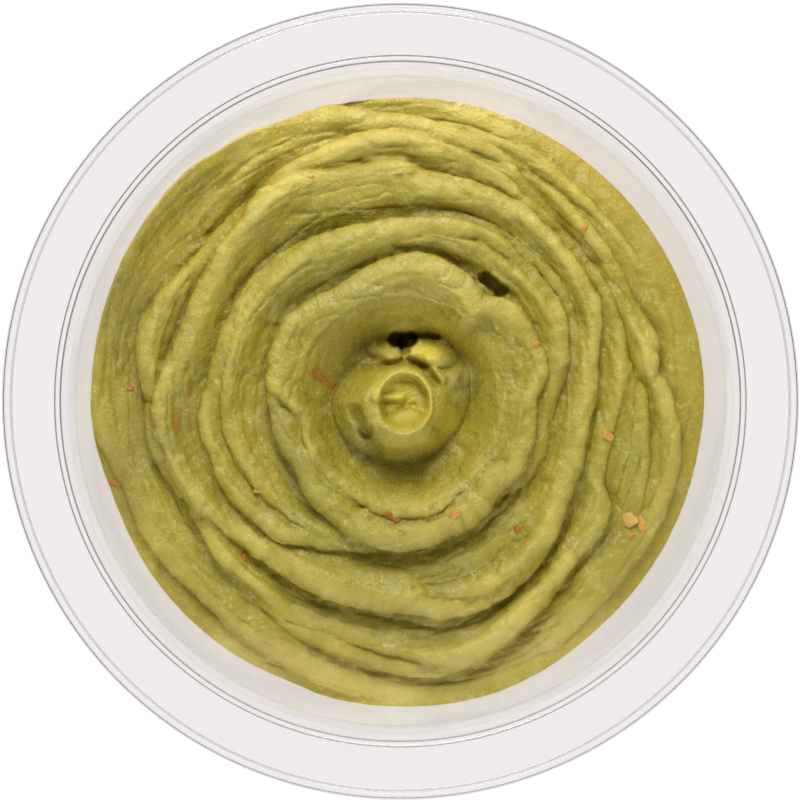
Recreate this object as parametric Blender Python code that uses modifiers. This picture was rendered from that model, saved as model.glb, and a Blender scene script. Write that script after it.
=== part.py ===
"""A clear round deli pot of piped guacamole.

The guacamole was piped round and round, so its top is a stack of soft folds. Each fold ends in a lip that
stands over the fold outside it, and the last one rises in the middle as a small curl with a cup in its top.
The pot is one thin moulding: a raised base panel on a foot ring, a tapered wall, a short neck and a flat
flange with a skirt.

Sizes are in millimetres, angles in degrees anticlockwise from +X, and the origin is on the axis at the foot.
"""

from dataclasses import dataclass

import bmesh
import bpy
import numpy as np

MM = 0.001
FACETS = 72  # round the axis, the same for both pieces, so the gap between them stays even

# Pot
HEIGHT = 45.0
RIM_RADIUS = 58.0
WALL = 0.55
SKIRT_DROP = 4.2
FLANGE_RADIUS = 56.7  # where the flat flange ends, in a small step down to the skirt
NECK_RADIUS = 49.33  # inside the upright neck, at the flange
NECK_DEPTH = 3.7  # from the flange down to the ledge
WALL_HEAD_RADIUS = 46.9  # inside, where the tapered wall starts to flare into the ledge
WALL_HEAD_HEIGHT = 36.95
FOOT_RADIUS = 38.9  # inside, where the tapered wall meets the foot's round
FOOT_HEIGHT = 2.6
PANEL_RADIUS = 33.2
PANEL_RISE = 0.85  # from the foot ring up to the underside of the base panel

# Guacamole
FIT_GAP = 0.3  # from the pot, all round
FILL_HEIGHT = 30.0  # of its edge on the wall, for the most part
DOME_RISE = 6.4
SMEAR_WIDTH = 7.0  # how far from the wall the food that was pushed up it thins out
LIP_WIDTH = 1.0  # of the cliff at a fold's edge
TROUGH_REACH = 3.0  # how far outside a lip the fold below it starts to sink
CREST_REACH = 4.8  # how far inside a lip its crest has died away
TROUGH_SHARE = 0.5  # share of a cliff's height that lies in the trough
EDGE_SOFTENING = 5.0  # the angle over which a fold's edge is rounded at each of its stations
# Height of the food's edge on the wall: angle, height. The last turn was pushed up the wall on one side.
FILL_LINE = (
    (0, 29.4), (12, 30.1), (92, 30.3), (106, 32.4), (122, 32.9), (134, 34.8), (150, 35.0), (170, 34.0),
    (188, 31.6), (215, 29.5), (247, 28.5), (264, 30.2), (296, 30.4), (310, 28.4), (332, 28.2),
)

# Middle
MOAT_RADIUS = 9.6  # the hollow inside the crown is even up to here
MOAT_REACH = 7.5  # how far beyond it rises to the crown
MOAT_DEPTH = 5.0
CURL_CENTRE = (0.3, 0.6)
CURL_FOOT_RADIUS = 9.6
CURL_ROLL = 5.8  # from its foot to its brow
CURL_RISE = 6.0
CUP_RADIUS = 4.3
CUP_RIM = 0.7
CUP_DEPTH = 1.4


@dataclass
class Fold:
    """One turn of the piped stream, as seen from above: stations (angle, radius) along its outer edge.

    Its cliff is `cliff` high, and `heavier` higher at the angle `heavy_side`. A turn that isn't a closed
    loop comes out from under its neighbour at `start` and goes back under at `end`.
    """

    edge: tuple
    cliff: float
    heavier: float
    heavy_side: float
    start: float = -180.0
    end: float = 180.0

    def radius(self, angle):
        angles, radii = zip(*self.edge)
        offsets = np.linspace(-1, 1, 5) * EDGE_SOFTENING
        return sum(np.interp(angle + offset, angles, radii, period=360) for offset in offsets) / 5

    def height(self, angle):
        height = self.cliff + self.heavier * np.cos(np.radians(angle - self.heavy_side))
        if self.end - self.start < 360:
            past = (angle - self.start) % 360
            height = height * np.clip(np.minimum(past, self.end - self.start - past) / 14, 0, 1)
        return height


CROWN = Fold(
    edge=((0, 20.2), (24, 22.6), (42, 22.0), (53, 20.4), (68, 21.8), (82, 22.3), (105, 20.4), (122, 19.6),
          (148, 21.0), (180, 19.7), (208, 18.7), (232, 20.1), (270, 22.3), (312, 20.5), (342, 20.8)),
    cliff=3.2, heavier=0.9, heavy_side=290,
)
SECOND_TURN = Fold(
    edge=((0, 28.9), (13, 30.3), (25, 33.0), (58, 34.1), (82, 34.4), (91, 36.0), (116, 36.9), (136, 35.4),
          (160, 34.6), (181, 36.7), (204, 34.4), (229, 31.4), (274, 31.5), (290, 33.2), (308, 32.3),
          (326, 29.3), (350, 28.4)),
    cliff=2.6, heavier=0.9, heavy_side=265,
)
THIRD_TURN = Fold(
    edge=((0, 34.0), (30, 35.2), (56, 35.7), (72, 37.8), (92, 40.3), (116, 39.1), (130, 37.4), (146, 37.3),
          (164, 40.4), (180, 37.6), (191, 38.1), (204, 35.8), (236, 35.9), (254, 38.6), (280, 41.4),
          (296, 39.1), (314, 35.4), (328, 36.0), (344, 33.6)),
    cliff=2.2, heavier=0.5, heavy_side=180,
)
INNER_TURN = Fold(
    edge=((-12, 22.6), (12, 26.8), (38, 30.0), (74, 29.5), (90, 27.4), (140, 27.6), (184, 29.9), (206, 29.4),
          (238, 25.6), (262, 22.7)),
    cliff=2.4, heavier=0.6, heavy_side=110, start=-12, end=262,
)
WALL_TURN = Fold(
    edge=((50, 36.2), (64, 39.2), (78, 41.6), (98, 43.8), (112, 45.8), (180, 46.0), (194, 43.2), (226, 42.1),
          (256, 44.6), (284, 44.9), (316, 42.5), (338, 43.2), (354, 41.4), (367, 37.4), (384, 36.8)),
    cliff=1.9, heavier=0.5, heavy_side=0, start=46, end=390,
)
FOLDS = (CROWN, INNER_TURN, SECOND_TURN, THIRD_TURN, WALL_TURN)

# The top's rows lie on round loops of these radii, which are then drawn to the folds' own edges: two rows at
# each lip, at the foot and the brow of its cliff, and a few between
LIP_LOOPS = ((21.0, CROWN), (32.5, SECOND_TURN), (37.0, THIRD_TURN))
PLAIN_ROWS = (
    44.0, 42.4, 40.6, 38.8, 34.9, 30.4, 28.2, 26.0, 23.6, 18.6, 16.0, 13.4, 11.4, 9.6, 7.8, 6.2, 4.8, 3.4, 1.8,
)


def ease(value):
    """0 up to 0, 1 from 1 on, and an even S between them."""
    share = np.clip(value, 0, 1)
    return share * share * (3 - 2 * share)


def pot_inside():
    """(radius, height) along the pot's inner surface, from the axis to the skirt's hem."""
    floor = PANEL_RISE + WALL
    ledge = HEIGHT - NECK_DEPTH
    return [
        (0, floor),
        (PANEL_RADIUS, floor),
        (PANEL_RADIUS + 1.2, WALL),
        (FOOT_RADIUS - 1.8, WALL),
        (FOOT_RADIUS - 0.6, WALL + 0.5),
        (FOOT_RADIUS, FOOT_HEIGHT),
        (WALL_HEAD_RADIUS, WALL_HEAD_HEIGHT),
        (NECK_RADIUS - 1.65, ledge - 1.7),
        (NECK_RADIUS - 1.05, ledge - 0.75),
        (NECK_RADIUS - 0.5, ledge - 0.2),
        (NECK_RADIUS - 0.05, ledge),
        (NECK_RADIUS, HEIGHT),
        (FLANGE_RADIUS, HEIGHT),
        (FLANGE_RADIUS + 0.3, HEIGHT - 0.7),
        (RIM_RADIUS - 0.35, HEIGHT - 0.95),
        (RIM_RADIUS, HEIGHT - SKIRT_DROP),
    ]


def wall_radius(height):
    """Inner radius of the tapered wall at a height."""
    return np.interp(height, (FOOT_HEIGHT, WALL_HEAD_HEIGHT), (FOOT_RADIUS, WALL_HEAD_RADIUS))


def fill_height(angle):
    """Height of the food's edge on the wall."""
    angles, heights = zip(*FILL_LINE)
    return np.interp(angle, angles, heights, period=360)


def lip(inside, height):
    """Rise and fall across a fold's edge, at a distance inside it (outside it where negative)."""
    trough = -TROUGH_SHARE * height * ease(1 + inside / TROUGH_REACH)
    brow = (1 - TROUGH_SHARE) * height * (1 - ease((inside - LIP_WIDTH) / (CREST_REACH - LIP_WIDTH)))
    climb = ease(inside / LIP_WIDTH)
    return trough * (1 - climb) + brow * climb


def middle(radius, angle):
    """The hollow inside the crown and the curl that stands in it, a soft cone with a cup in its tip."""
    x = radius * np.cos(np.radians(angle)) - CURL_CENTRE[0]
    y = radius * np.sin(np.radians(angle)) - CURL_CENTRE[1]
    away = np.hypot(x, y)
    moat = -MOAT_DEPTH * (1 - ease((radius - MOAT_RADIUS) / MOAT_REACH))
    share = np.clip((CURL_FOOT_RADIUS - away) / CURL_ROLL, 0, 1)
    curl = CURL_RISE * (0.4 * np.sqrt(1 - (1 - share) ** 2) + 0.6 * share)
    rim = CUP_RIM * ease(1 - np.abs(away - CUP_RADIUS) / 1.2)
    return moat + curl + rim - CUP_DEPTH * ease(1.6 * (1 - away / CUP_RADIUS))


def top_height(radius, angle):
    edge = fill_height(angle)
    reach = wall_radius(edge)
    dome = FILL_HEIGHT + DOME_RISE * (1 - (radius / reach) ** 2)
    smear = (edge - FILL_HEIGHT) * np.clip(1 - (reach - radius) / SMEAR_WIDTH, 0, 1) ** 1.5
    folds = sum(lip(fold.radius(angle) - radius, fold.height(angle)) for fold in FOLDS)
    return dome + smear + folds + middle(radius, angle)


def drawn_radius(row, angle):
    """Radius at which a row of the top lies at an angle, once the loops are drawn to the folds' edges."""
    loops = [0, 12.0] + [loop for loop, _ in LIP_LOOPS] + [45.0]
    places = [0, 12.0] + [fold.radius(angle) for _, fold in LIP_LOOPS] + [wall_radius(FILL_HEIGHT) - 0.4]
    return np.interp(row, loops, places)


def turned(name, profile):
    """A mesh that goes once round the Z axis, from a profile of (radius, height) that starts on it."""
    bm = bmesh.new()
    points = [bm.verts.new((radius * MM, 0, height * MM)) for radius, height in profile]
    edges = [bm.edges.new(pair) for pair in zip(points, points[1:])]
    bmesh.ops.spin(
        bm,
        geom=points + edges,
        cent=(0, 0, 0),
        axis=(0, 0, 1),
        angle=np.radians(360),
        steps=FACETS,
        use_merge=True,
    )
    bmesh.ops.remove_doubles(bm, verts=bm.verts, dist=0.01 * MM)
    bmesh.ops.recalc_face_normals(bm, faces=bm.faces)
    mesh = bpy.data.meshes.new(name)
    bm.to_mesh(mesh)
    bm.free()
    return mesh


def placed(name, mesh, collection, colour, roughness):
    """An object for the mesh, smooth but for its corners, with its own material."""
    piece = bpy.data.objects.new(name, mesh)
    collection.objects.link(piece)
    mesh.shade_smooth()
    mesh.set_sharp_from_angle(angle=np.radians(50))
    material = bpy.data.materials.new(name + "_material")
    material.use_nodes = True
    shader = material.node_tree.nodes["Principled BSDF"]
    shader.inputs["Base Color"].default_value = (*colour, 1)
    shader.inputs["Roughness"].default_value = roughness
    shader.inputs["Metallic"].default_value = 0
    mesh.materials.append(material)
    return piece


def make_tub(collection):
    """The pot: its inner surface, turned and given its wall on the outside."""
    tub = placed("tub", turned("tub", pot_inside()), collection, colour=(0.84, 0.83, 0.80), roughness=0.08)
    wall = tub.modifiers.new("wall", "SOLIDIFY")
    wall.thickness = WALL * MM
    wall.offset = -1
    wall.use_even_offset = True
    return tub


def make_guacamole(collection):
    """The food: the pot's inside less the gap, closed by the folded top."""
    floor = PANEL_RISE + WALL + FIT_GAP
    slack = FIT_GAP * 1.04  # measured along the radius, on the tapered wall
    below = [
        (0, floor),
        (PANEL_RADIUS + 0.2, floor),
        (PANEL_RADIUS + 1.4, WALL + FIT_GAP),
        (FOOT_RADIUS - 2.0, WALL + FIT_GAP),
        (FOOT_RADIUS - 1.0, WALL + 0.9),
        (FOOT_RADIUS - slack, FOOT_HEIGHT),
        (wall_radius(12) - slack, 12),
        (wall_radius(22) - slack, 22),
    ]
    brows = [row for loop, _ in LIP_LOOPS for row in (loop, loop - LIP_WIDTH)]
    rows = [wall_radius(FILL_HEIGHT)] + sorted(PLAIN_ROWS + tuple(brows), reverse=True) + [0]
    mesh = turned("guacamole", below + [(row, FILL_HEIGHT) for row in rows])
    for vertex in mesh.vertices:
        x, y, z = vertex.co / MM
        if z < FILL_HEIGHT - 0.01:
            continue
        angle = np.degrees(np.arctan2(y, x))
        radius = np.hypot(x, y)
        if radius > wall_radius(FILL_HEIGHT) - 0.01:
            height = fill_height(angle)
            drawn = wall_radius(height) - slack
        else:
            drawn = drawn_radius(radius, angle)
            height = top_height(drawn, angle)
        turn = np.radians(angle)
        vertex.co = (drawn * np.cos(turn) * MM, drawn * np.sin(turn) * MM, height * MM)
    return placed("guacamole", mesh, collection, colour=(0.50, 0.40, 0.08), roughness=0.45)


for item in list(bpy.data.objects):
    bpy.data.objects.remove(item, do_unlink=True)
model = bpy.data.collections.new("guacamole_tub")
bpy.context.scene.collection.children.link(model)
make_tub(model)
make_guacamole(model)
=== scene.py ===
"""Guacamole in a clear round deli pot, seen from straight above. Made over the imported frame."""

import math

import bmesh
import bpy
import numpy as np
from mathutils import Matrix, Vector, noise
from mathutils.bvhtree import BVHTree


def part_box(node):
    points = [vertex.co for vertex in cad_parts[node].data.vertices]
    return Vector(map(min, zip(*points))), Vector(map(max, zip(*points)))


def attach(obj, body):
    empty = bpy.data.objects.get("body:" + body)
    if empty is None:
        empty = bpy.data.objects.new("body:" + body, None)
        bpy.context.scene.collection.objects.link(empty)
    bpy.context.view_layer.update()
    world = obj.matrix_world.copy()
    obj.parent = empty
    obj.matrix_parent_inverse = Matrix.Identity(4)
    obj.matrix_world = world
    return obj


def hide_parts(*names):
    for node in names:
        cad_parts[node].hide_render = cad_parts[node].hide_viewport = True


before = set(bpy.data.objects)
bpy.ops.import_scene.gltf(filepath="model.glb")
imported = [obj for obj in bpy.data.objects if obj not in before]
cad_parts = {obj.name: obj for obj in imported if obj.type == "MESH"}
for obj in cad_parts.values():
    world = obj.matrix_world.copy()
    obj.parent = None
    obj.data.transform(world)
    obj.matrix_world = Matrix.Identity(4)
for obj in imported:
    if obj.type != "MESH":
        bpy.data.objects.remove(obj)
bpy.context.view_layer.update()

MM = 0.001  # every size below is in millimetres unless its name says otherwise

# ---------------------------------------------------------------------------------------------------------
# The studio. The pot stands on a white sheet that glows evenly, as a light table does, between a soft lamp
# behind it and a weaker one in front, in a dim grey room. The camera hangs straight above the pot, far off, on a long lens.
# ---------------------------------------------------------------------------------------------------------
pot_low, pot_high = (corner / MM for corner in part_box("tub"))
RIM_RADIUS = pot_high.x
POT_HEIGHT = pot_high.z
FRAME_HALF = 58.37  # what half the picture's width shows, 3 mm below the pot's brim

camera_data = bpy.data.cameras.new("camera")
camera_data.lens = 180
camera_data.sensor_width = 36
camera_data.clip_end = 5
camera = bpy.data.objects.new("camera", camera_data)
camera_height = POT_HEIGHT - 3 + FRAME_HALF * camera_data.lens / (camera_data.sensor_width / 2)
camera.location = Vector((-0.05, 0.18, camera_height)) * MM
bpy.context.scene.collection.objects.link(camera)
bpy.context.scene.camera = camera
bpy.context.scene.view_settings.view_transform = "Standard"


def lamp(name, place, aim, size, watts, colour):
    """A square soft lamp that faces the point aim."""
    data = bpy.data.lights.new(name, "AREA")
    data.size = size * MM
    data.energy = watts
    data.color = colour
    light = bpy.data.objects.new(name, data)
    light.location = Vector(place) * MM
    light.rotation_euler = (Vector(aim) - Vector(place)).to_track_quat("-Z", "Y").to_euler()
    bpy.context.scene.collection.objects.link(light)


lamp("back_lamp", place=(-60, 640, 520), aim=(0, 0, 30), size=440, watts=6.4, colour=(1.0, 0.985, 0.96))
lamp("front_lamp", place=(60, -640, 520), aim=(0, 0, 30), size=440, watts=3.2, colour=(1.0, 0.99, 0.98))

world = bpy.data.worlds.new("room")
world.use_nodes = True
world.node_tree.nodes["Background"].inputs["Color"].default_value = (0.98, 0.98, 1.0, 1)
world.node_tree.nodes["Background"].inputs["Strength"].default_value = 0.22
bpy.context.scene.world = world


def add_node(material, kind, values=None, **settings):
    """A shader node with its settings and its sockets' values. A value that is a socket is linked."""
    tree = material.node_tree
    node = tree.nodes.new(kind)
    for name, value in settings.items():
        setattr(node, name, value)
    for name, value in (values or {}).items():
        if isinstance(value, bpy.types.NodeSocket):
            tree.links.new(value, node.inputs[name])
        else:
            node.inputs[name].default_value = value
    return node


def new_material(name):
    """An empty material, with the shader and the output that every one here ends in."""
    material = bpy.data.materials.new(name)
    material.use_nodes = True
    return material, material.node_tree.nodes["Principled BSDF"], material.node_tree.nodes["Material Output"]


bm = bmesh.new()
bmesh.ops.create_grid(bm, x_segments=1, y_segments=1, size=4000 * MM)
bmesh.ops.translate(bm, vec=(0, 0, -0.2 * MM), verts=bm.verts)
floor_mesh = bpy.data.meshes.new("floor")
bm.to_mesh(floor_mesh)
bm.free()
floor = bpy.data.objects.new("floor", floor_mesh)
bpy.context.scene.collection.objects.link(floor)
floor_material, shader, _ = new_material("white_sheet")
shader.inputs["Base Color"].default_value = (0.02, 0.02, 0.02, 1)
shader.inputs["Roughness"].default_value = 1
shader.inputs["Specular IOR Level"].default_value = 0
shader.inputs["Emission Color"].default_value = (1, 1, 1, 1)
shader.inputs["Emission Strength"].default_value = 1.0
floor_mesh.materials.append(floor_material)

# ---------------------------------------------------------------------------------------------------------
# The pot: one thin clear moulding with a raised base panel on a foot ring, a tapered wall, a small ledge
# under a short neck, and a flat flange whose skirt turns down. Turned from the line of its inner surface.
# ---------------------------------------------------------------------------------------------------------
POT_WALL = 0.55
POT_STEPS = 300
HEM_HEIGHT = POT_HEIGHT - 4.15
WALL_FOOT = (38.9, 2.6)  # radius and height inside, where the tapered wall starts
WALL_HEAD = (47.55, 39.73)
FLARE_END = 6  # corners up to here have the outer surface parallel to the inner
# Corners of the inner and upper surface, from the axis out to the hem: radius, height and the round there.
# The wall flares ever faster up to a short neck, which is the seat for a lid, and the flange ends in a step
# and a skirt.
POT_INSIDE = (
    (0, 1.4, 0),
    (33.4, 1.4, 0.9),
    (34.4, POT_WALL, 0.5),
    (38.4, POT_WALL, 1.6),
    (*WALL_HEAD, 12.0),
    (48.41, 42.18, 6.5),
    (49.3, 44.27, 0.26),
    (50.03, POT_HEIGHT, 0.36),
    (56.75, POT_HEIGHT, 0.23),
    (57.04, 44.31, 0.25),
    (57.69, 43.74, 0.055),
    (RIM_RADIUS, 43.51, 0.15),
    (RIM_RADIUS, HEM_HEIGHT + 0.2, 0.05),
    (57.94, HEM_HEIGHT, 0.03),
    (57.63, HEM_HEIGHT, 0),
)
# The outer surface beyond the flare: a flat heel under the neck, then the underside of flange and skirt
POT_OUTSIDE = (
    (49.78, 43.85, 0.1),
    (50.33, POT_HEIGHT - 0.55, 0.05),
    (56.51, POT_HEIGHT - 0.55, 0.24),
    (56.53, 43.86, 0.23),
    (57.41, 43.12, 0.28),
    (57.61, HEM_HEIGHT + 0.1, 0),
)
GENTLE = 1.0  # a round this large is cut finely and runs on smoothly from its neighbours
GUARD = 0.03  # beside a tighter one the flat stretch has a point this close, so that it shades flat


def rounded_line(corners):
    """(radius, height) points along a line whose corners are rounded off."""
    points = [np.array(corners[0][:2])]
    for before, spot, after in zip(corners, corners[1:], corners[2:]):
        corner, radius = np.array(spot[:2]), spot[2]
        back, on = np.array(before[:2]) - corner, np.array(after[:2]) - corner
        back, on = back / np.linalg.norm(back), on / np.linalg.norm(on)
        half = math.acos(back @ on) / 2
        middle = corner + (back + on) / np.linalg.norm(back + on) * radius / math.sin(half)
        start = corner + back * radius / math.tan(half)
        end = corner + on * radius / math.tan(half)
        sweep = math.pi - 2 * half
        gentle = radius >= GENTLE
        points += [] if gentle else [start + back * GUARD]
        for t in np.linspace(0, 1, math.ceil(math.degrees(sweep)) + 1 if gentle else 6):
            arm = math.sin((1 - t) * sweep) * (start - middle) + math.sin(t * sweep) * (end - middle)
            points.append(middle + arm / math.sin(sweep))
        points += [] if gentle else [end + on * GUARD]
    return points + [np.array(corners[-1][:2])]


def thickened(corners, wall):
    """The corners between the first and the last, moved out by the wall's thickness, with rounds to match."""
    ways = [np.subtract(b[:2], a[:2]) for a, b in zip(corners, corners[1:])]
    right = [np.array((way[1], -way[0])) / np.linalg.norm(way) for way in ways]
    moved = [(*(corners[0][:2] + right[0] * wall), 0)]
    for corner, first, second in zip(corners[1:], right, right[1:]):
        mitre = (first + second) / (1 + first @ second)
        turn = first[0] * second[1] - first[1] * second[0]
        moved.append((*(corner[:2] + mitre * wall), max(corner[2] + math.copysign(wall, turn), 0.08)))
    return moved


def wrapped(rings):
    """A bmesh skin through rings of points round the Z axis, an array in millimetres. A ring of radius 0 is a pole."""
    count, steps = rings.shape[:2]
    skin = bmesh.new()
    order = skin.verts.layers.int.new("order")
    bmesh.ops.create_grid(skin, x_segments=count - 1, y_segments=steps, size=0.5)
    for vertex in skin.verts:
        ring, step = round((vertex.co.x + 0.5) * (count - 1)), round((vertex.co.y + 0.5) * steps) % steps
        vertex.co = Vector(rings[ring, step]) * MM
        vertex[order] = ring * steps + step
    bmesh.ops.remove_doubles(skin, verts=skin.verts, dist=0.0001 * MM)
    bmesh.ops.recalc_face_normals(skin, faces=skin.faces)
    return skin


def turned(line, steps):
    """A bmesh that goes once round the Z axis, from a line of (radius, height) points."""
    turn = np.arange(steps) * math.tau / steps
    radius, height = np.array(line)[:, :1], np.array(line)[:, 1:]
    return wrapped(np.stack(np.broadcast_arrays(radius * np.cos(turn), radius * np.sin(turn), height), axis=-1))


def finished(name, piece_bm, material):
    """The bmesh as a smooth piece of the object, with its material."""
    mesh = bpy.data.meshes.new(name)
    piece_bm.to_mesh(mesh)
    piece_bm.free()
    mesh.shade_smooth()
    mesh.materials.append(material)
    piece = bpy.data.objects.new(name, mesh)
    bpy.context.scene.collection.objects.link(piece)
    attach(piece, "root")
    return piece


TRAPPED_AFTER = 3  # light that has bounced more often inside the plastic scatters out of it, so no edge goes black
plastic, shader, output = new_material("clear_plastic")
shader.inputs["Base Color"].default_value = (0.909, 0.867, 0.883, 1)
shader.inputs["Roughness"].default_value = 0.015
shader.inputs["IOR"].default_value = 1.49
shader.inputs["Transmission Weight"].default_value = 1
path = add_node(plastic, "ShaderNodeLightPath")
trapped = add_node(
    plastic, "ShaderNodeMath", {0: path.outputs["Ray Depth"], 1: TRAPPED_AFTER}, operation="GREATER_THAN"
)
scattered = add_node(plastic, "ShaderNodeBsdfTranslucent", {"Color": (0.5, 0.5, 0.5, 1)})
through = add_node(plastic, "ShaderNodeBsdfTransparent", {"Color": (0.95, 0.93, 0.94, 1)})
inside = add_node(
    plastic, "ShaderNodeMixShader", {0: trapped.outputs[0], 1: shader.outputs["BSDF"], 2: scattered.outputs["BSDF"]}
)
mix = add_node(
    plastic, "ShaderNodeMixShader", {0: path.outputs["Is Shadow Ray"], 1: inside.outputs["Shader"], 2: through.outputs["BSDF"]}
)
plastic.node_tree.links.new(mix.outputs["Shader"], output.inputs["Surface"])

upper = rounded_line(POT_INSIDE)
under = rounded_line(thickened(POT_INSIDE[: FLARE_END + 1], POT_WALL) + list(POT_OUTSIDE))
pot_bm = turned(upper + under[::-1], POT_STEPS)
pot = finished("clear_pot", pot_bm, plastic)
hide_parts("tub")

# ---------------------------------------------------------------------------------------------------------
# The guacamole: coarse avocado mash, piped round and round from the wall to the middle. Each turn leaves a
# soft rolled lip over the turn outside it. One closed body, turned from a line and then drawn into its folds.
# ---------------------------------------------------------------------------------------------------------
STEPS = 460
TOP_ROWS = 184
INTO_WALL = 0.15  # the food reaches this far into the plastic, so no air shows between them
CROWN_LEVEL = 36.6  # of the smooth dome that the folds lie on, at the axis
TROUGH_SHARE = 0.42  # share of a lip's height that lies below the dome, in the trough outside it
LEAN = 48  # degrees that a high lip rolls round, over its own foot. A low one hardly does
FILL_HEIGHT = 30.2
SMEAR_WIDTH = 7.0  # how far from the wall the mash that clings to it thins out
PLY_HEIGHT = 0.18  # of the fine plies that run along the turns

# Height of the food's edge on the wall: angle anticlockwise from +X in degrees, height
FILL_LINE = (
    (0, 29.7), (12, 29.9), (24, 29.6), (60, 29.4), (72, 29.9), (84, 29.9), (96, 29.6), (114, 30.0), (120, 32.0),
    (127, 32.6), (131, 34.2), (144, 34.0), (156, 33.4), (168, 32.5), (186, 31.9), (193, 30.2), (199, 29.0),
    (215, 29.3), (240, 29.1), (247, 28.4), (257, 30.1), (270, 30.5), (288, 31.1), (300, 29.8), (311, 28.4),
    (336, 28.5), (350, 28.8),
)
# Stations along the outer edge of each turn: angle, radius of the edge and height of its lip. A turn whose
# lip is 0 at its ends comes out from under its neighbour there.
CROWN = (
    (0, 20.2, 2.4), (10, 22.2, 2.0), (24, 22.6, 2.0), (40, 22.4, 2.6), (50, 20.5, 4.4), (57, 20.8, 4.2),
    (67, 21.6, 3.6), (82, 22.3, 3.6), (95, 21.4, 3.4), (108, 20.2, 3.2), (122, 19.6, 3.0), (140, 20.7, 2.6),
    (150, 21.0, 2.4), (180, 19.7, 2.4), (200, 19.3, 2.8), (210, 18.7, 3.6), (226, 19.9, 3.0), (246, 21.0, 2.8),
    (268, 22.3, 4.0), (292, 21.4, 4.8), (302, 21.5, 4.6), (320, 20.2, 4.2), (328, 20.8, 3.2), (342, 20.8, 2.4),
)
CROWN_LEAF = (
    (155, 20.8, 0), (165, 20.2, 0.4), (173, 19.4, 0.7), (180, 17.5, 1.2), (189, 15.2, 1.7), (200, 15.5, 1.3),
    (215, 15.7, 0.9), (240, 15.8, 0.9), (258, 16.9, 1.2), (272, 17.3, 1.6), (290, 17.3, 1.3), (305, 16.1, 0.8),
    (320, 15.6, 0.6), (340, 15.5, 0.5), (352, 15.4, 0.3), (362, 15.3, 0),
)
SECOND = (
    (315, 20.4, 0), (322, 21.6, 1.2), (330, 22.5, 1.6), (345, 22.8, 1.6), (354, 22.4, 1.6), (365, 24.2, 2.2),
    (375, 26.0, 2.4), (388, 27.7, 2.4), (400, 27.9, 2.0), (410, 28.0, 1.8), (420, 28.7, 1.8), (435, 28.2, 2.8),
    (448, 27.2, 4.0), (470, 27.0, 4.0), (500, 28.6, 3.4), (520, 28.6, 3.0), (535, 28.9, 2.6), (545, 30.3, 1.8),
    (556, 29.5, 1.8), (564, 29.6, 2.0), (576, 28.6, 2.2), (590, 27.1, 2.4), (600, 25.1, 2.2), (612, 23.4, 2.0),
    (625, 22.5, 1.0), (632, 22.2, 0),
)
SECOND_PLY = (
    (10, 26.3, 0), (20, 28.2, 0.9), (30, 29.4, 1.2), (45, 30.0, 1.3), (60, 29.7, 1.2), (72, 29.4, 1.0),
    (80, 28.6, 0.7), (90, 27.2, 0),
)
SECOND_TUCK = (
    (98, 26.4, 0), (110, 26.4, 0.7), (130, 26.3, 0.8), (150, 26.6, 0.9), (170, 26.6, 1.1), (190, 26.6, 1.3),
    (205, 25.6, 1.3), (220, 24.3, 1.2), (235, 23.5, 0.8), (252, 22.9, 0),
)
SECOND_CAP = (
    (30, 25.6, 0), (38, 26.1, 0.8), (50, 26.0, 1.0), (64, 26.2, 1.2), (70, 25.5, 1.2), (80, 25.0, 0.7), (90, 24.6, 0),
)
THIRD = (
    (0, 28.9, 2.2), (13, 30.3, 2.2), (20, 32.0, 2.2), (27, 33.1, 2.2), (42, 33.5, 2.4), (58, 34.1, 2.4),
    (72, 34.1, 2.4), (84, 34.4, 2.2), (90, 36.0, 2.0), (104, 35.5, 1.7), (111, 36.6, 2.2), (120, 36.9, 2.6),
    (132, 35.6, 2.4), (150, 34.7, 2.4), (163, 34.6, 2.6), (172, 35.6, 2.6), (181, 36.7, 2.2), (190, 36.0, 1.6),
    (204, 34.5, 1.3), (216, 32.6, 2.0), (230, 31.4, 3.6), (250, 31.4, 4.2), (272, 31.5, 4.2), (280, 32.9, 3.2),
    (295, 33.2, 3.2), (308, 32.2, 3.0), (320, 30.5, 3.0), (326, 29.4, 3.0), (340, 28.6, 2.6), (352, 28.4, 2.4),
)
THIRD_TUCK = (
    (274, 29.0, 0), (282, 29.7, 0.9), (290, 30.7, 1.3), (300, 31.0, 1.3), (310, 30.3, 1.2), (320, 29.8, 0.8),
    (328, 28.9, 0),
)
FOURTH = (
    (-4, 33.2, 0), (8, 34.2, 1.2), (22, 34.8, 1.6), (31, 35.3, 1.8), (38, 34.9, 1.9), (48, 35.4, 2.0),
    (58, 35.8, 2.0), (65, 36.8, 2.0), (74, 38.2, 2.0), (84, 39.3, 2.0), (90, 40.2, 2.0), (99, 40.2, 2.0),
    (108, 39.4, 2.4), (118, 38.9, 3.0), (126, 37.5, 3.4), (134, 37.4, 3.0), (144, 37.4, 2.4), (150, 38.2, 1.6),
    (157, 39.5, 2.0), (164, 40.4, 2.8), (171, 39.7, 3.2), (177, 38.5, 3.0), (181, 36.6, 0),
)
FOURTH_LOBE = (
    (176, 37.6, 0), (180, 38.0, 2.0), (186, 38.2, 3.0), (192, 38.0, 3.0), (197, 36.8, 2.6), (203, 36.1, 2.4),
    (208, 35.4, 2.6), (213, 35.6, 2.6), (223, 36.2, 2.6), (229, 35.7, 2.0), (235, 35.9, 1.0), (241, 36.4, 0),
)
FOURTH_FRONT = (
    (232, 36.3, 0), (240, 37.6, 0.9), (248, 38.6, 1.2), (256, 38.9, 1.6), (262, 39.5, 2.0), (270, 40.7, 2.4),
    (280, 41.4, 2.8), (286, 40.8, 2.8), (294, 39.5, 3.0), (302, 37.9, 3.0), (309, 36.6, 2.4), (316, 35.4, 1.4),
    (322, 34.6, 0),
)
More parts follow.
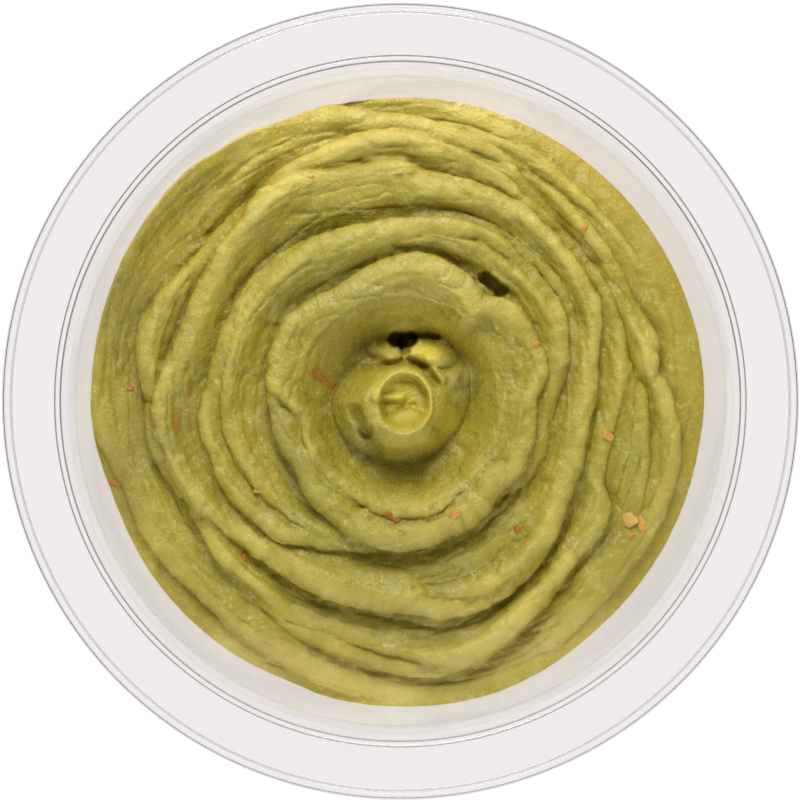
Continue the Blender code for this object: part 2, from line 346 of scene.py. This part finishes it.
FOURTH_PLY = (
    (256, 36.0, 0), (262, 36.9, 1.1), (270, 38.0, 1.6), (280, 39.7, 1.8), (288, 39.2, 1.6), (296, 37.8, 1.6),
    (304, 36.2, 1.1), (312, 34.6, 0),
)
RIGHT_LOBE = (
    (308, 35.2, 0), (314, 35.5, 1.1), (320, 35.5, 1.6), (326, 36.0, 2.4), (331, 35.3, 2.6), (335, 34.3, 2.4),
    (338, 32.8, 1.6), (345, 32.0, 1.2), (356, 32.4, 1.1), (363, 33.0, 0.5), (370, 33.6, 0),
)
RIGHT_TUCK = (
    (334, 39.6, 0), (340, 38.9, 0.9), (346, 38.2, 1.2), (352, 37.5, 1.4), (359, 37.0, 1.4), (364, 36.0, 1.1),
    (368, 34.6, 0.5), (372, 33.8, 0),
)
RIGHT_ROLL = (
    (4, 37.6, 0), (8, 38.5, 2.0), (13, 39.5, 2.6), (18, 38.9, 2.0), (24, 38.1, 1.3), (34, 38.4, 1.3),
    (46, 38.7, 1.3), (56, 39.2, 1.2), (64, 39.6, 0.8), (72, 40.2, 0),
)
RIGHT_EDGE = (
    (28, 41.2, 0), (34, 41.4, 0.7), (44, 41.2, 0.7), (54, 41.8, 0.9), (62, 42.4, 0.9), (70, 41.7, 0.7), (78, 42.4, 0),
)
WALL_TURN = (
    (48, 35.9, 0), (53, 36.4, 1.1), (60, 37.6, 1.6), (66, 39.6, 1.9), (72, 40.7, 1.9), (80, 41.6, 1.9),
    (90, 42.8, 2.0), (95, 43.1, 2.0), (99, 44.4, 2.0), (104, 45.6, 2.0), (115, 47.5, 2.4), (172, 47.5, 1.6),
    (186, 45.8, 1.1), (193, 44.4, 1.1), (199, 43.2, 1.5), (206, 43.6, 1.6), (214, 42.8, 1.8), (223, 42.0, 1.8),
    (232, 42.2, 1.8), (243, 42.7, 1.5), (250, 43.6, 1.3), (257, 44.2, 1.0), (268, 45.0, 0),
)
WALL_FLAP = (
    (300, 44.0, 0), (308, 43.0, 1.0), (318, 42.4, 1.4), (330, 42.7, 1.5), (337, 43.0, 1.6), (346, 42.8, 1.7),
    (352, 42.2, 1.7), (358, 41.2, 1.7), (363, 40.0, 1.6), (367, 38.8, 1.5), (373, 37.6, 1.2), (380, 37.2, 0.9),
    (388, 36.8, 0.8), (396, 36.4, 0),
)
# Each turn with how far inside its lip the crest dies away, and how far outside it the trough reaches
TURNS = (
    (CROWN, 5.5, 4.2), (CROWN_LEAF, 4.0, 2.4), (SECOND, 5.0, 3.6), (SECOND_PLY, 2.4, 1.8), (SECOND_TUCK, 3.0, 2.2),
    (SECOND_CAP, 2.4, 1.6), (THIRD, 4.6, 3.4), (THIRD_TUCK, 2.6, 1.8), (FOURTH, 4.0, 3.4), (FOURTH_LOBE, 3.6, 3.4),
    (FOURTH_FRONT, 3.6, 3.0), (FOURTH_PLY, 2.6, 1.8), (RIGHT_LOBE, 4.0, 2.6), (RIGHT_TUCK, 3.4, 2.2),
    (RIGHT_ROLL, 3.2, 2.6), (RIGHT_EDGE, 2.4, 1.8), (WALL_TURN, 4.0, 2.4), (WALL_FLAP, 3.6, 2.6),
)
# The curl in the middle: the foot of its soft cone round a centre of its own, and the cup in its tip
CURL_CENTRE = (0.3, 0.6)
CURL_FOOT = (
    (8, 10.2, 5.6), (24, 10.4, 4.8), (42, 10.4, 4.0), (59, 10.4, 3.6), (75, 9.6, 3.6), (92, 8.6, 4.2), (109, 8.6, 4.8),
    (130, 8.0, 5.2), (155, 8.9, 6.0), (180, 10.4, 6.8), (200, 10.6, 6.8), (225, 10.2, 6.8), (250, 9.6, 7.2),
    (271, 9.4, 7.6), (293, 9.2, 7.6), (320, 9.2, 7.0), (344, 9.6, 6.4),
)
CURL_ROLL = 5.2
MOAT_DEPTH = (4.6, 6.2)  # in front and behind, where the tip of the turn was pulled off
MOAT_REACH = 6.8
CUP_CENTRE = (0.6, -0.25)
CUP_RADII = (3.95, 4.6)
CUP_DEPTH = 1.7
CUP_RIM = 1.7
# Soft beads (+) and grooves (-) in the mash: from, to, half width, height and how soft their sides are
BEADS = (
    ((1.7, 7.7), (6.8, 6.4), 1.6, 1.6, 0.8),  # the flap that comes out from under the moat's edge
    ((4.8, 5.6), (8.6, 4.0), 2.3, 1.2, 1.2),
    ((8.0, 3.6), (9.0, 0.6), 1.6, 0.6, 1.5),
    ((-3.9, 7.6), (-1.0, 6.6), 1.4, 1.0, 1.5),
    ((-6.0, 6.0), (-3.4, 8.2), 1.1, 0.6, 1.5),
    ((-3.9, 0.5), (0.2, 0.5), 0.7, 0.9, 1),
    ((-1.9, 2.4), (-0.4, 2.6), 1.2, 0.5, 1.5),
    ((0.2, -2.2), (1.4, -1.8), 1.7, -0.6, 1),
    ((0.6, 6.3), (3.4, 5.2), 0.8, -1.2, 1.5),
    ((3.4, 5.2), (5.2, 2.8), 1.0, -1.0, 1.5),
    ((4.8, 5.0), (6.4, 3.0), 0.8, 0.5, 1.5),
    ((-5.4, 4.7), (0.0, 5.7), 0.8, -0.9, 1.5),
    ((-6.8, -1.4), (-5.0, -4.6), 1.3, -1.5, 1.5),
    ((-5.0, -4.6), (-3.2, -7.2), 1.4, -1.5, 1.5),
    ((-4.6, -3.4), (-2.6, -6.8), 1.0, 0.8, 1.5),
    ((-7.6, -5.2), (-5.6, -7.6), 1.2, 0.7, 1.5),
)
# Pits, steep all round: from, to, half width and depth
PITS = (
    ((-0.8, 9.1), (1.5, 9.1), 1.0, 6.0),
    ((0.2, 8.7), (0.7, 7.5), 0.6, 4.0),
    ((1.8, 9.7), (5.4, 9.4), 0.4, 2.4),
    ((14.9, 16.4), (12.5, 18.3), 0.8, 3.0),
    ((-31.6, -14.4), (-31.0, -15.8), 0.4, 1.8),
)


def ease(value):
    """0 up to 0, 1 from 1 on, and an even S between them."""
    share = np.clip(value, 0, 1)
    return share * share * (3 - 2 * share)


def along(stations, turn):
    """The stations' values at each angle of an array, on a smooth curve. Past an open line's ends the rise is 0."""
    marks = np.array(stations, float)
    closed = marks.shape[1] == 2 or marks[0, 2] > 0
    if closed:
        whole = np.array([360] + [0] * (marks.shape[1] - 1))
        marks = np.concatenate([marks[-1:] - whole, marks, marks[:2] + whole])
    else:
        marks = np.concatenate([marks[:1], marks, marks[-1:]])
    turn = marks[1, 0] + (turn - marks[1, 0]) % 360
    k = np.clip(np.searchsorted(marks[:, 0], turn, side="right") - 1, 1, len(marks) - 3)
    before, start, end, after = (marks[k + d] for d in (-1, 0, 1, 2))
    span = (end - start)[..., :1]
    t = np.clip((turn[..., None] - start[..., :1]) / span, 0, 1)
    slope_in = (end - before) / (end - before)[..., :1] * span
    slope_out = (after - start) / (after - start)[..., :1] * span
    curve = (
        (2 * t**3 - 3 * t**2 + 1) * start
        + (t**3 - 2 * t**2 + t) * slope_in
        + (3 * t**2 - 2 * t**3) * end
        + (t**3 - t**2) * slope_out
    )
    if marks.shape[1] == 2:
        return curve[..., 1]
    return curve[..., 1], np.where(turn <= marks[-1, 0], np.clip(curve[..., 2], 0, None), 0)


def rough(*coordinates):
    """Smooth random values, from about -1 to 1, at points in space whose coordinates are arrays or numbers."""
    fields = np.broadcast_arrays(*coordinates)
    return np.array([noise.noise(spot) for spot in zip(*(field.ravel() for field in fields))]).reshape(fields[0].shape)


def rolled_lip(inside, rise, roll, crest_reach, trough_reach):
    """Height and outward shift across a rolled lip, by the distance inside its edge. It bulges over its foot."""
    lean = np.radians(LEAN) * np.clip((rise - 0.7) / 2.3, 0, 1)
    t = np.clip(inside / roll, 0, 1)
    swing = t * (np.pi / 2 + lean) - lean
    climb = (np.sin(swing) + np.sin(lean)) / (1 + np.sin(lean))
    height = rise * (climb - TROUGH_SHARE)
    height = np.where(inside < 0, -TROUGH_SHARE * rise * ease(1 + inside / trough_reach), height)
    crest = (1 - TROUGH_SHARE) * rise * (1 - ease((inside - roll) / crest_reach))
    height = np.where(inside > roll, crest, height)
    shift = np.where(inside > roll, 0, roll * t - roll * (1 - np.cos(swing)))
    tuck = -roll * (1 - np.cos(lean)) * ease(1 + inside / 0.5)
    return height, np.where(inside < 0, tuck, shift)


def off_line(x, y, start, end):
    """How far each point is from the straight line between two."""
    start, end = np.array(start, float), np.array(end, float)
    way = end - start
    t = np.clip(((x - start[0]) * way[0] + (y - start[1]) * way[1]) / (way @ way), 0, 1)
    return np.hypot(x - start[0] - t * way[0], y - start[1] - t * way[1])


def wall_radius(height):
    """Inner radius of the pot's tapered wall at a height."""
    return WALL_FOOT[0] + (height - WALL_FOOT[1]) * (WALL_HEAD[0] - WALL_FOOT[0]) / (WALL_HEAD[1] - WALL_FOOT[1])


# The top, ring by ring from the wall to the axis: a smooth dome, then drawn into its folds
row_radii = np.linspace(45.6, 0, TOP_ROWS + 1)
turn = np.arange(STEPS) * 360 / STEPS
east, north = np.cos(np.radians(turn)), np.sin(np.radians(turn))
fill_line = along(FILL_LINE, turn) + 0.25 * rough(east * 20, north * 20, 40.0)
fill_radius = wall_radius(fill_line) + INTO_WALL
rows = row_radii[:, None] + ease((row_radii[:, None] - 30) / 15.6) * (fill_radius - row_radii[0])
x, y = rows * east, rows * north
from_wall = fill_radius - rows
dome = FILL_HEIGHT + (CROWN_LEVEL - FILL_HEIGHT) * (1 - (rows / fill_radius) ** 2)
dome += (fill_line - FILL_HEIGHT) * np.clip(1 - from_wall / SMEAR_WIDTH, 0, 1) ** 1.5
height = dome.copy()
shift_x, shift_y = np.zeros_like(rows), np.zeros_like(rows)
for number, (stations, crest_reach, trough_reach) in enumerate(TURNS):
    edge, rise = along(stations, turn)
    seed = 7.3 * number
    ragged = 0.3 * rough(east * edge / 2.3, north * edge / 2.3, seed)
    ragged += 0.14 * rough(east * edge / 0.9, north * edge / 0.9, seed + 3)
    inside = edge + ragged - rows
    lip_height, shift = rolled_lip(inside, rise, 0.7 + 0.5 * rise, crest_reach, trough_reach)
    plies = rough(inside / 0.8, east * edge / 8 + seed, north * edge / 8)
    plies *= ease(1 + inside / 0.8) * ease((crest_reach + 4 - inside) / 2) * np.clip(rise, 0, 1)
    height += lip_height + PLY_HEIGHT * plies
    shift_x += shift * east
    shift_y += shift * north

# Thin creases between the plies run along with the turns
bands = rough(rows / 2.1, east * 2.6, north * 2.6) + 0.12 * rough(x / 1.2, y / 1.2, 60.0)
height -= 0.34 * ease(1 - np.abs(bands) / 0.11) * ease((rows - 12) / 5) * ease(from_wall / 2)

# The crown dips to a moat round the curl, a soft cone with a cup in its tip
off_x, off_y = x - CURL_CENTRE[0], y - CURL_CENTRE[1]
off = np.hypot(off_x, off_y) + 1e-6
edge, rise = along(CURL_FOOT, np.degrees(np.arctan2(off_y, off_x)))
edge += 0.2 * rough(off_x / off * 4, off_y / off * 4, 90.0)
inside = edge - off
rise = rise.mean() + (rise - rise.mean()) * ease((off - 1) / 5)
moat_depth = MOAT_DEPTH[0] + (MOAT_DEPTH[1] - MOAT_DEPTH[0]) * ease(0.5 + y / 14)
height -= moat_depth * (1 - ease((rows - 9.2) / MOAT_REACH))
share = np.clip(inside / CURL_ROLL, 0, 1)
height += rise * (0.35 * np.sqrt(1 - (1 - share) ** 2) + 0.65 * ease(share))
height -= 0.5 * ease(1 - np.abs(inside) / 2.0)
lean = 0.3 * ease(1 - np.abs(inside - 0.5) / 0.9)
shift_x += lean * off_x / off
shift_y += lean * off_y / off
cup_x, cup_y = (x - CUP_CENTRE[0]) / CUP_RADII[0], (y - CUP_CENTRE[1]) / CUP_RADII[1]
cup = np.hypot(cup_x, cup_y) + 0.05 * rough(x / 2.0, y / 2.0, 91.0)
rim_width = 0.2 + 0.5 * ease(0.3 - 0.45 * cup_x - 0.75 * cup_y)
rim = ease(1 - np.abs(cup - 1) / np.where(cup > 1, rim_width, 0.17))
height += CUP_RIM * rim - CUP_DEPTH * ease((1 - cup) / 0.35)
uneven = 0.16 * rough(x / 1.1, y / 1.1, 93.0)
for start, end, half_width, bead_height, softness in BEADS:
    height += bead_height * np.clip(1 - (off_line(x, y, start, end) / half_width + uneven) ** 2, 0, 1) ** softness
for start, end, half_width, depth in PITS:
    uneven = 0.25 * half_width * rough(x / 0.9, y / 0.9, 92.0)
    height -= depth * ease((half_width + uneven - off_line(x, y, start, end)) / 0.7 + 0.5)

# Uneven mash: soft lumps and grain
lumps = 0.34 * rough(x / 3.6, y / 3.6, 11.0) + 0.18 * rough(x / 1.5, y / 1.5, 12.0) + 0.08 * rough(x / 0.7, y / 0.7, 13.0)
height += lumps * ease(from_wall / 1.5)
height[0], shift_x[0], shift_y[0] = fill_line, 0, 0
height[-1], shift_x[-1], shift_y[-1] = height[-1].mean(), 0, 0
drawn_x, drawn_y = x + shift_x, y + shift_y
too_far = np.clip(fill_radius / np.maximum(np.hypot(drawn_x, drawn_y), 1e-6), 0, 1)
drawn_x, drawn_y = drawn_x * too_far, drawn_y * too_far


def softened(field, reach):
    """The field's mean over a patch round each point, reach rows and twice that many steps each way."""
    padded = np.concatenate([field[:1].repeat(reach, 0), field, field[-1:].repeat(reach, 0)])
    mean = sum(padded[k : k + len(field)] for k in range(2 * reach + 1)) / (2 * reach + 1)
    return sum(np.roll(mean, k, 1) for k in range(-2 * reach, 2 * reach + 1)) / (4 * reach + 1)


# The rest of the body follows the pot's inside, from the middle of its base up the wall
side_line = [(0, 1.4), (33.4, 1.4), (34.4, POT_WALL), (38.0, POT_WALL), (38.6, 0.8)]
side_line = [(r, z - INTO_WALL) for r, z in side_line] + [(wall_radius(z) + INTO_WALL, z) for z in np.linspace(3, 26, 9)]
side = np.array([np.stack((r * east, r * north, np.full(STEPS, z)), axis=-1) for r, z in side_line])
guac_bm = wrapped(np.concatenate([side, np.stack((drawn_x, drawn_y, height), axis=-1)]))

# Colour follows the lie of the mash: pale and yellow on the crests, olive in the creases. This is painted highlight and
# sheen on the crests and painted shade in the creases. Some stretches are paler all over (+) or darker (-): painted
# light where the lamps catch the outer ring in front and behind and the curl's lit sides, painted shade on the left and
# round the moat, mixed with the mash's own paler and damp patches. Where light shines through the mash, a painted
# golden glow stands for it: from, to, half width, pale, golden.
TONES = (
    ((-0.4, 1.4), (0.6, -0.6), 4.4, 0.15, 0.8), ((-1.8, 2.0), (-1.2, 0.6), 2.0, 0.6, 0.0), ((1.0, -2.6), (1.6, -2.0), 2.2, -0.5, 0.0),
    ((-1.0, -5.6), (3.4, -5.4), 1.8, 0.5, 0.2), ((5.0, -1.6), (7.6, -3.6), 3.0, 0.0, 0.4),
    ((1.6, 7.6), (4.6, 7.0), 1.9, 0.8, 0.9), ((-7.6, -5.0), (-4.4, -8.2), 2.4, -0.6, 0.0), ((-5.4, 7.6), (-0.6, 6.4), 2.0, -0.4, 0.0),
    ((6.0, 5.6), (9.2, 1.6), 2.0, -0.5, 0.0), ((-18.6, -2.0), (-15.0, -12.0), 2.6, -0.5, 0.0),
    ((-26.0, -36.0), (0.0, -43.0), 4.0, 0.5, 0.0), ((0.0, -43.0), (28.0, -33.0), 4.5, 0.55, 0.0),
    ((-14.0, -32.0), (14.0, -33.0), 3.4, 0.45, 0.0), ((-22.0, 36.0), (14.0, 41.0), 4.5, 0.35, 0.2),
    ((-12.0, 31.0), (14.0, 33.0), 3.0, 0.3, 0.1), ((-40.5, -16.0), (-41.0, 16.0), 5.5, -0.65, 0.1),
    ((-33.0, -8.0), (-33.0, 12.0), 5.0, -0.3, 0.0), ((-13.0, 3.0), (-9.0, 9.0), 3.0, 0.2, 0.0),
    ((-10.0, 17.0), (12.0, 17.0), 3.6, 0.3, 0.0), ((24.0, -6.0), (24.0, 8.0), 2.6, -0.2, 0.0),
)
painted_relief_light = (height - softened(height, 8)) / 2.2 * (0.25 + 0.75 * ease(from_wall / 2.5)) + 0.5
# Painted highlight on the cup's rim (+ rim) and painted shade at the curl's foot in the moat (the subtracted term)
painted_relief_light = np.clip(painted_relief_light + 0.8 * rim - 0.2 * ease(1 - np.abs(inside) / 2.6), 0, 1)
pale, golden = np.zeros_like(rows), np.zeros_like(rows)
# pale holds painted light (+) and painted shade (-), mixed with the mash's own paler and damp patches
for start, end, half_width, pale_share, golden_share in TONES:
    near = np.clip(1 - (off_line(x, y, start, end) / half_width + uneven) ** 2, 0, 1) ** 1.5
    pale, golden = pale + pale_share * near, golden + golden_share * near
order = guac_bm.verts.layers.int["order"]


def stored(name, values):
    """Keeps a value for each vertex of the top under this name. The rest of the body gets the same 0."""
    layer = guac_bm.verts.layers.float.new(name)
    flat = np.concatenate([np.zeros(len(side_line) * STEPS), values.ravel()])
    for vertex in guac_bm.verts:
        vertex[layer] = flat[vertex[order]]


# Where a bit of pepper has bled into the mash: from, to, half width and strength
STAINS = (
    ((-12.4, 4.0), (-10.2, 2.6), 1.9, 1.0), ((-9.6, 1.8), (-9.0, 1.2), 0.9, 0.7), ((-33.4, -2.2), (-32.9, -4.2), 1.4, 0.9),
    ((-31.6, 0.6), (-31.2, 1.6), 1.0, 0.7), ((-31.4, 2.6), (-30.6, 3.2), 0.7, 0.4), ((-23.0, -23.0), (-22.6, -23.6), 0.9, 0.7),
    ((34.8, 0.4), (35.2, -0.6), 0.9, 0.6), ((-42.8, 8.6), (-42.4, 7.4), 1.0, 0.6), ((6.6, 20.6), (9.4, 20.2), 0.8, 0.7),
    ((10.6, 18.6), (12.6, 18.0), 0.8, 0.7), ((19.6, 4.6), (20.2, 6.0), 1.0, 0.5), ((19.4, 7.9), (20.4, 8.6), 0.7, 0.6),
    ((32.6, -18.2), (33.4, -17.0), 1.4, 0.6), ((18.8, 14.6), (19.4, 14.0), 0.7, 0.4), ((7.6, -0.8), (8.2, -1.8), 0.7, 0.3),
    ((4.0, 28.4), (6.0, 28.8), 0.6, 0.3), ((-1.2, 5.4), (0.0, 5.5), 0.5, 0.7),
)
stained = np.zeros_like(rows)
for start, end, half_width, strength in STAINS:
    near = 1 - off_line(drawn_x, drawn_y, start, end) / half_width
    stained = np.maximum(stained, strength * ease(near * 1.2 + 0.5 * rough(drawn_x / 0.9, drawn_y / 0.9, 21.0)))
for name, values in (("crest", painted_relief_light), ("pale", pale), ("golden", golden), ("stain", stained)):
    stored(name, values)

guac, shader, output = new_material("guacamole_mash")
place = add_node(guac, "ShaderNodeTexCoord").outputs["Object"]
lie = add_node(guac, "ShaderNodeAttribute", attribute_name="crest")
painted_relief_ramp = add_node(guac, "ShaderNodeValToRGB", {"Fac": lie.outputs["Fac"]})
# Painted shade: dark olive in the creases. Painted highlight and sheen: pale yellow on the crests
painted_relief_ramp.color_ramp.elements[0].color = (0.285, 0.225, 0.017, 1)
painted_relief_ramp.color_ramp.elements[1].color = (0.58, 0.49, 0.095, 1)
middle_tone = painted_relief_ramp.color_ramp.elements.new(0.5)
middle_tone.color = (0.372, 0.30, 0.027, 1)
# Slow drifts between a golden and a greener mash, and damp, greyer patches
drift = add_node(guac, "ShaderNodeTexNoise", {"Vector": place, "Scale": 55, "Detail": 2})
greener = add_node(guac, "ShaderNodeMapRange", {"Value": drift.outputs["Fac"], "From Min": 0.4, "From Max": 0.62, "To Max": 0.5})
drifting = add_node(
    guac, "ShaderNodeMix", {0: greener.outputs["Result"], 6: painted_relief_ramp.outputs["Color"], 7: (0.30, 0.275, 0.03, 1)}, data_type="RGBA"
)
patches = add_node(guac, "ShaderNodeTexNoise", {"Vector": place, "Scale": 260, "Detail": 4, "Roughness": 0.65})
damp = add_node(guac, "ShaderNodeMapRange", {"Value": patches.outputs["Fac"], "From Min": 0.54, "From Max": 0.72, "To Max": 0.6})
damped = add_node(
    guac, "ShaderNodeMix", {0: damp.outputs["Result"], 6: drifting.outputs[2], 7: (0.50, 0.46, 0.14, 1)}, data_type="RGBA"
)
# Fine pale flecks, partly unmashed avocado and partly painted glints on the wet grain
bend = add_node(guac, "ShaderNodeTexNoise", {"Vector": place, "Scale": 1500, "Detail": 1})
bent = add_node(guac, "ShaderNodeMixRGB", {"Fac": 0.0009, "Color1": place, "Color2": bend.outputs["Color"]}, blend_type="ADD")
flecks = add_node(guac, "ShaderNodeTexVoronoi", {"Vector": bent.outputs["Color"], "Scale": 1700, "Randomness": 1})
chosen = add_node(guac, "ShaderNodeSeparateColor", {"Color": flecks.outputs["Color"]})
some = add_node(guac, "ShaderNodeMapRange", {"Value": chosen.outputs["Red"], "From Min": 0.5, "From Max": 1, "To Max": 0.6})
spot = add_node(
    guac, "ShaderNodeMapRange", {"Value": flecks.outputs["Distance"], "From Min": 0.1, "From Max": 0.6, "To Min": 1, "To Max": 0}
)
speck = add_node(guac, "ShaderNodeMath", {0: some.outputs["Result"], 1: spot.outputs["Result"]}, operation="MULTIPLY")
cluster = add_node(guac, "ShaderNodeMapRange", {"Value": patches.outputs["Fac"], "From Min": 0.42, "From Max": 0.6, "To Min": 0.35})
clustered = add_node(guac, "ShaderNodeMath", {0: speck.outputs[0], 1: cluster.outputs["Result"]}, operation="MULTIPLY")
colour = add_node(
    guac, "ShaderNodeMix", {0: clustered.outputs[0], 6: damped.outputs[2], 7: (0.68, 0.60, 0.20, 1)}, data_type="RGBA"
)


def tinted(under, share, tint):
    """The colour under, mixed with a tint by a share from 0 to 1."""
    return add_node(guac, "ShaderNodeMix", {0: share, 6: under, 7: tint}, data_type="RGBA").outputs[2]


paleness = add_node(guac, "ShaderNodeAttribute", attribute_name="pale").outputs["Fac"]
paler = add_node(guac, "ShaderNodeMapRange", {"Value": paleness, "From Max": 1, "To Max": 0.75})
# Where pale is below 0: painted shade, partly damp mash
painted_shade_and_damp = add_node(guac, "ShaderNodeMapRange", {"Value": paleness, "From Max": -1, "To Max": 0.75})
shining = add_node(guac, "ShaderNodeAttribute", attribute_name="golden")
light_through = add_node(guac, "ShaderNodeMapRange", {"Value": shining.outputs["Fac"], "To Max": 0.85})
toned = tinted(colour.outputs[2], paler.outputs["Result"], (0.60, 0.525, 0.15, 1))
toned = tinted(toned, painted_shade_and_damp.outputs["Result"], (0.225, 0.20, 0.05, 1))
toned = tinted(toned, light_through.outputs["Result"], (0.70, 0.57, 0.05, 1))
bled = add_node(guac, "ShaderNodeAttribute", attribute_name="stain")
mottle = add_node(guac, "ShaderNodeTexNoise", {"Vector": place, "Scale": 3200, "Detail": 4, "Roughness": 0.7})
soaked = add_node(guac, "ShaderNodeMath", {0: mottle.outputs["Fac"], 1: 1.8, 2: bled.outputs["Fac"]}, operation="MULTIPLY_ADD")
soaking = add_node(guac, "ShaderNodeMapRange", {"Value": soaked.outputs[0], "From Min": 1.3, "From Max": 2.0, "To Max": 0.9})
toned = tinted(toned, soaking.outputs["Result"], (0.40, 0.16, 0.022, 1))
guac.node_tree.links.new(toned, shader.inputs["Base Color"])
wet = add_node(guac, "ShaderNodeMapRange", {"Value": patches.outputs["Fac"], "From Min": 0.35, "From Max": 0.65, "To Min": 0.5, "To Max": 0.24})
guac.node_tree.links.new(wet.outputs["Result"], shader.inputs["Roughness"])
shader.inputs["Specular IOR Level"].default_value = 0.4
shader.inputs["Subsurface Weight"].default_value = 0.12
shader.inputs["Subsurface Radius"].default_value = (1.0, 0.8, 0.25)
shader.inputs["Subsurface Scale"].default_value = 0.001
mash = add_node(guac, "ShaderNodeTexNoise", {"Vector": place, "Scale": 800, "Detail": 3, "Roughness": 0.55})
grain = add_node(guac, "ShaderNodeTexNoise", {"Vector": place, "Scale": 2400, "Detail": 3, "Roughness": 0.6})
bump = add_node(guac, "ShaderNodeBump", {"Height": mash.outputs["Fac"], "Strength": 0.5, "Distance": 0.0007})
fine = add_node(
    guac, "ShaderNodeBump", {"Height": grain.outputs["Fac"], "Strength": 0.6, "Distance": 0.0003, "Normal": bump.outputs["Normal"]}
)
guac.node_tree.links.new(fine.outputs["Normal"], shader.inputs["Normal"])

surface = BVHTree.FromBMesh(guac_bm)
guacamole = finished("guacamole_swirl", guac_bm, guac)
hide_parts("guacamole")

# ---------------------------------------------------------------------------------------------------------
# The pepper: small chopped bits of red and orange pepper that show in the mash, each half sunk in it. They
# are flat chips with cut, rounded edges, from fine shreds to one piece as large as a lentil.
# ---------------------------------------------------------------------------------------------------------
# Angle and radius where each lies, its length, width and thickness, its turn and how red it is, from 0 to 1
BITS = (
    (333.6, 37.9, 3.6, 2.3, 1.0, 40, 0.1), (333.0, 40.2, 2.2, 1.2, 0.9, 20, 0.25), (330.0, 39.6, 1.2, 0.5, 0.4, 60, 0.6),
    (350.5, 31.2, 1.7, 1.2, 0.8, 70, 0.35), (296.0, 18.5, 1.8, 1.1, 0.7, 30, 0.4), (266.0, 17.2, 2.0, 0.9, 0.6, 170, 0.85),
    (212.0, 24.8, 1.4, 0.9, 0.6, 10, 0.4), (313.0, 25.7, 1.4, 0.8, 0.5, 80, 0.8), (22.5, 21.7, 1.2, 0.8, 0.5, 110, 0.45),
    (43.0, 37.3, 1.4, 0.6, 0.5, 130, 0.5), (112.0, 35.9, 1.2, 0.5, 0.5, 20, 0.4), (70.0, 22.9, 2.2, 0.6, 0.5, 160, 0.8),
    (58.0, 21.9, 2.0, 0.7, 0.5, 140, 0.9), (48.0, 11.0, 0.9, 0.5, 0.4, 60, 0.9), (105.0, 5.3, 1.2, 0.5, 0.4, 170, 0.5),
    (177.5, 40.2, 1.3, 0.7, 0.5, 80, 0.8), (196.3, 43.9, 3.6, 0.9, 0.5, 176, 0.7), (265.0, 40.2, 0.9, 0.5, 0.4, 40, 0.5),
    (225.0, 32.6, 1.2, 0.7, 0.5, 150, 0.7),
)
BIT_PROUD = 0.25  # share of a bit's thickness that stands out of the mash
bits_bm = bmesh.new()
ripe = bits_bm.verts.layers.float.new("ripe")
for angle, radius, length, width, thickness, bit_turn, red in BITS:
    start = Vector((radius * math.cos(math.radians(angle)), radius * math.sin(math.radians(angle)), POT_HEIGHT)) * MM
    spot, normal, _, _ = surface.ray_cast(start, Vector((0, 0, -1)))
    lie_of_bit = (normal + Vector((0, 0, 1))).to_track_quat("Z", "Y").to_matrix() @ Matrix.Rotation(math.radians(bit_turn), 3, "Z")
    made = bmesh.ops.create_cube(bits_bm, size=MM)["verts"]
    bmesh.ops.scale(bits_bm, vec=(length, width, thickness), verts=made)
    edges = list({edge for vertex in made for edge in vertex.link_edges})
    bevel = bmesh.ops.bevel(
        bits_bm, geom=edges, offset=0.32 * min(width, thickness) * MM, affect="EDGES", segments=2, profile=0.5, material=-1
    )
    made = [v for v in bits_bm.verts if v[ripe] == 0]
    for vertex in made:
        vertex.co += noise.noise_vector(vertex.co / MM * 1.1 + Vector((angle, radius, 0))) * 0.28 * min(length, 2 * width) * MM
        vertex.co = lie_of_bit @ vertex.co + spot + normal * (BIT_PROUD - 0.5) * thickness * MM
        vertex[ripe] = red + 0.01

pepper, shader, output = new_material("pepper_flesh")
place = add_node(pepper, "ShaderNodeTexCoord").outputs["Object"]
ripeness = add_node(pepper, "ShaderNodeAttribute", attribute_name="ripe")
mottle = add_node(pepper, "ShaderNodeTexNoise", {"Vector": place, "Scale": 1400, "Detail": 3})
shade = add_node(pepper, "ShaderNodeMath", {0: mottle.outputs["Fac"], 1: 0.8, 2: -0.4}, operation="MULTIPLY_ADD")
how_red = add_node(pepper, "ShaderNodeMath", {0: ripeness.outputs["Fac"], 1: shade.outputs[0]}, operation="ADD")
skin = add_node(pepper, "ShaderNodeValToRGB", {"Fac": how_red.outputs[0]})
skin.color_ramp.elements[0].color = (0.60, 0.42, 0.12, 1)
skin.color_ramp.elements[1].color = (0.33, 0.10, 0.016, 1)
orange = skin.color_ramp.elements.new(0.5)
orange.color = (0.62, 0.24, 0.025, 1)
pepper.node_tree.links.new(skin.outputs["Color"], shader.inputs["Base Color"])
shader.inputs["Roughness"].default_value = 0.4
shader.inputs["Subsurface Weight"].default_value = 0.4
shader.inputs["Subsurface Radius"].default_value = (1.0, 0.4, 0.1)
shader.inputs["Subsurface Scale"].default_value = 0.0008
bits = finished("pepper_bits", bits_bm, pepper)
